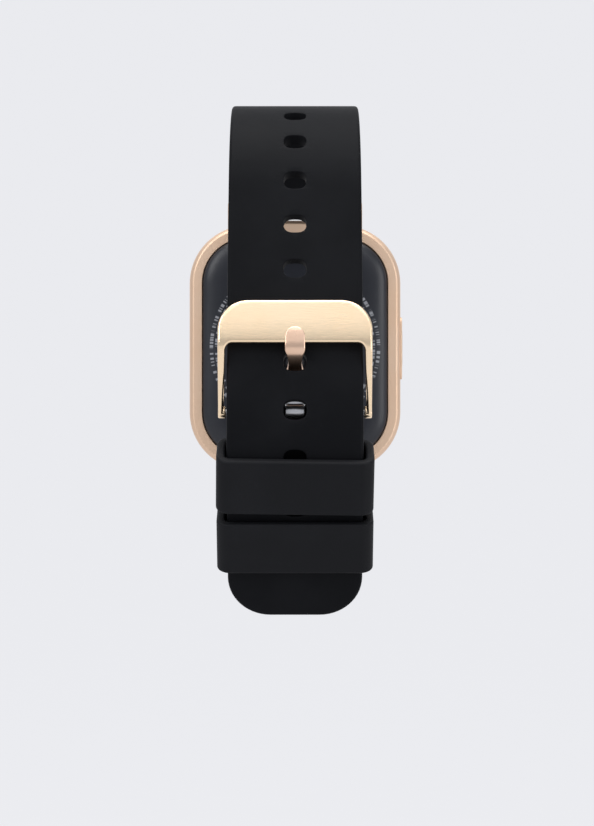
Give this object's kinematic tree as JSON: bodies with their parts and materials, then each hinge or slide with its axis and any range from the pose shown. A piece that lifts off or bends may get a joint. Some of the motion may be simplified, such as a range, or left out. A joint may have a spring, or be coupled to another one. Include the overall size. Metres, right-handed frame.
{
  "type": "smartwatch",
  "caption": "Smartwatch with a rounded rectangular metal case, side button and a closed two-piece silicone band with pin buckle, keepers and sprung lug bars.",
  "frame": {"origin": "centre of the sensor window's flat face on the back of the case", "axes": "+Z along the case towards the long strap's end, +Y out of the display, +X across the band towards the side button"},
  "size_m": [0.0363, 0.0574, 0.079],
  "materials": {
    "case_gold": "satin, fine bead-blasted",
    "buckle_gold": "polished, lightly brushed",
    "silicone": "soft matte silicone with a faint sheen",
    "keeper_silicone": "soft matte silicone",
    "cover_polymer": "fine matte coating",
    "window_glass": "clear dark glass",
    "front_glass": "polished cover glass",
    "panel": "dark display stack",
    "gasket": "matte",
    "board": "solder mask",
    "flex": "amber film",
    "steel": "fine machined",
    "plate": "stamped",
    "battery": "foil pouch",
    "led": "clear epoxy",
    "diode": "dark epoxy",
    "contact_gold": "plated",
    "magnet": "nickel plated",
    "switch": "moulded"
  },
  "bodies": {
    "case": {"case_frame": "case_gold", "back_cover": "cover_polymer", "front_glass": "front_glass", "sensor_window": "window_glass", "display_panel": "panel", "display_flex": "flex", "mid_plate": "plate", "main_board": "board", "sensor_board": "board", "shield_can": "steel", "board_screw_1": "steel", "board_screw_2": "steel", "board_screw_3": "steel", "board_screw_4": "steel", "battery": "battery", "motor_can": "steel", "sensor_led_1": "led", "sensor_led_2": "led", "photodiode_1": "diode", "photodiode_2": "diode", "charge_pin_left": "contact_gold", "charge_pin_right": "contact_gold", "charge_magnet_left": "magnet", "charge_magnet_right": "magnet", "glass_gasket": "gasket", "back_gasket": "gasket", "button_seal": "gasket", "button_switch": "switch"},
    "button": {"side_button": "case_gold", "button_clip": "steel"},
    "rotor": {"motor_rotor": "steel"},
    "band": {"long_strap": "silicone", "short_strap": "silicone", "keeper_fixed": "keeper_silicone", "long_bar_tube": "steel", "long_bar_spring": "steel", "short_bar_tube": "steel", "short_bar_spring": "steel", "buckle_bar_tube": "steel", "buckle_bar_spring": "steel"},
    "free_keeper": {"keeper_free": "keeper_silicone"},
    "buckle": {"buckle_frame": "buckle_gold"},
    "tongue": {"buckle_tongue": "buckle_gold"},
    "long_pin_l": {"long_bar_pin_left": "steel"},
    "long_pin_r": {"long_bar_pin_right": "steel", "long_bar_lever": "steel"},
    "short_pin_l": {"short_bar_pin_left": "steel"},
    "short_pin_r": {"short_bar_pin_right": "steel", "short_bar_lever": "steel"},
    "buckle_pin_l": {"buckle_bar_pin_left": "steel"},
    "buckle_pin_r": {"buckle_bar_pin_right": "steel"}
  },
  "joints": [
    {"name": "button_press", "type": "slide", "parent": "case", "child": "button", "axis": [-1, 0, 0], "range_m": [0, 0.0003], "stiffness_N_per_m": 2000, "springref_m": -0.0006},
    {"name": "motor_spin", "type": "hinge", "parent": "case", "child": "rotor", "pos_m": [0.0102, 0.006, 0.0101], "axis": [0, 0, 1], "continuous": true},
    {"name": "band_swing", "type": "hinge", "parent": "case", "child": "band", "pos_m": [0, 0.0035, 0.0234], "axis": [-1, 0, 0], "range_deg": [0, 60]},
    {"name": "keeper_slide", "type": "slide", "parent": "band", "child": "free_keeper", "axis": [0, -0.3746, 0.9272], "range_m": [-0.0006, 0.0004]},
    {"name": "buckle_tilt", "type": "hinge", "parent": "band", "child": "buckle", "pos_m": [0, -0.04069, -0.00976], "axis": [-1, 0, 0], "range_deg": [0, 1.1]},
    {"name": "tongue_lift", "type": "hinge", "parent": "band", "child": "tongue", "pos_m": [0, -0.04069, -0.00976], "axis": [1, 0, 0], "range_deg": [0, 2]},
    {"name": "long_pin_left_draw", "type": "slide", "parent": "band", "child": "long_pin_l", "axis": [1, 0, 0], "range_m": [0, 0.00105], "stiffness_N_per_m": 1500, "springref_m": -0.001},
    {"name": "long_pin_right_draw", "type": "slide", "parent": "band", "child": "long_pin_r", "axis": [-1, 0, 0], "range_m": [0, 0.00105], "stiffness_N_per_m": 1500, "springref_m": -0.001},
    {"name": "short_pin_left_lock", "type": "slide", "parent": "band", "child": "short_pin_l", "axis": [-1, 0, 0], "range_m": [0, 0.00105]},
    {"name": "short_pin_right_lock", "type": "slide", "parent": "band", "child": "short_pin_r", "axis": [1, 0, 0], "range_m": [0, 0.00105]},
    {"name": "buckle_pin_left_draw", "type": "slide", "parent": "band", "child": "buckle_pin_l", "axis": [1, 0, 0], "range_m": [0, 0.0009], "stiffness_N_per_m": 1500, "springref_m": -0.001},
    {"name": "buckle_pin_right_draw", "type": "slide", "parent": "band", "child": "buckle_pin_r", "axis": [-1, 0, 0], "range_m": [0, 0.0009], "stiffness_N_per_m": 1500, "springref_m": -0.001}
  ]
}
